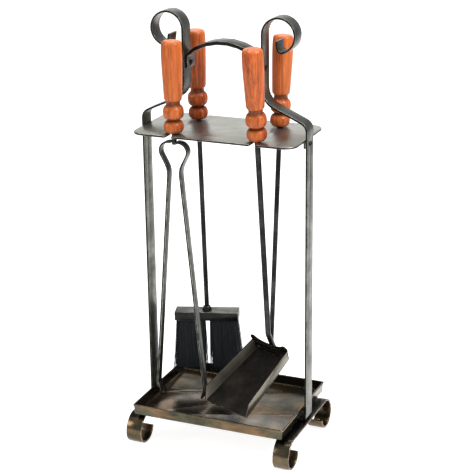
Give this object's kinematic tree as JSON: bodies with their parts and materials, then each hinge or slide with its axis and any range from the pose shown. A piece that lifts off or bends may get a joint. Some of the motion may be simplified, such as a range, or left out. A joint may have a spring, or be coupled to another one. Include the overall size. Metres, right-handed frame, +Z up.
{
  "type": "fireplace tool set",
  "caption": "Fireside companion set: a strap-metal stand with tray, scroll feet, slotted rack and carry arch, and hanging tongs, brush, shovel and poker with turned wooden handles.",
  "frame": {"origin": "on the floor, under the middle of the stand", "axes": "+Z up, -Y the front that faces the room, +X to the right seen from the front"},
  "size_m": [0.264, 0.1978, 0.6552],
  "materials": {
    "antique_pewter": "antiqued dark pewter lacquer, satin",
    "antique_copper": "antiqued pewter rubbed with copper on edges, satin",
    "dark_bronze": "dark bronze lacquer with rubbed edges, satin",
    "dark_steel": "dark antiqued steel",
    "varnished_wood": "turned hardwood, orange-red gloss varnish",
    "brush_wood": "plain dark wood",
    "bristles": "black bristle"
  },
  "bodies": {
    "stand": {"arch_rivet_left": "dark_steel", "arch_rivet_right": "dark_steel", "base_tray": "antique_copper", "carry_arch": "antique_pewter", "foot_bar_left": "antique_copper", "foot_bar_right": "antique_copper", "rack_rivet_left": "dark_steel", "rack_rivet_right": "dark_steel", "tool_rack": "antique_pewter", "tray_rivet_left_front": "dark_steel", "tray_rivet_left_rear": "dark_steel", "tray_rivet_right_front": "dark_steel", "tray_rivet_right_rear": "dark_steel", "upright_left": "antique_pewter", "upright_right": "antique_pewter"},
    "tongs": {"tongs_handle": "varnished_wood", "tongs_rod": "dark_steel"},
    "tongs_left_arm": {"tongs_arm_left": "antique_pewter"},
    "tongs_right_arm": {"tongs_arm_right": "antique_pewter"},
    "brush": {"brush_block": "brush_wood", "brush_channel": "antique_pewter", "brush_collar": "dark_steel", "brush_handle": "varnished_wood", "brush_rod": "dark_steel", "brush_tuft_left": "bristles", "brush_tuft_right": "bristles"},
    "shovel": {"shovel_back": "dark_bronze", "shovel_handle": "varnished_wood", "shovel_pan": "dark_bronze", "shovel_rivet_left": "dark_steel", "shovel_rivet_right": "dark_steel", "shovel_rod": "dark_steel"},
    "poker": {"poker_handle": "varnished_wood", "poker_hook": "dark_steel", "poker_rod": "dark_steel"}
  },
  "joints": [
    {"name": "tongs_lift", "type": "slide", "parent": "stand", "child": "tongs", "axis": [0, -0.9613, 0.2756], "range_m": [0, 0.25]},
    {"name": "brush_lift", "type": "slide", "parent": "stand", "child": "brush", "axis": [0, 0.9613, 0.2756], "range_m": [0, 0.25]},
    {"name": "shovel_lift", "type": "slide", "parent": "stand", "child": "shovel", "axis": [0, -0.9613, 0.2756], "range_m": [0, 0.25]},
    {"name": "poker_lift", "type": "slide", "parent": "stand", "child": "poker", "axis": [0, 0.9613, 0.2756], "range_m": [0, 0.25]},
    {"name": "tongs_left_squeeze", "type": "hinge", "parent": "tongs", "child": "tongs_left_arm", "pos_m": [-0.0681, -0.0407, 0.4715], "axis": [0, -1, 0], "range_deg": [0, 4.4], "stiffness_Nm_per_rad": 0.6},
    {"name": "tongs_right_squeeze", "type": "hinge", "parent": "tongs", "child": "tongs_right_arm", "pos_m": [-0.0601, -0.0407, 0.4715], "axis": [0, 1, 0], "range_deg": [0, 4.4], "stiffness_Nm_per_rad": 0.6}
  ],
  "couplings": [
    {"joint": "tongs_right_squeeze", "follows": "tongs_left_squeeze", "ratio": 1}
  ]
}
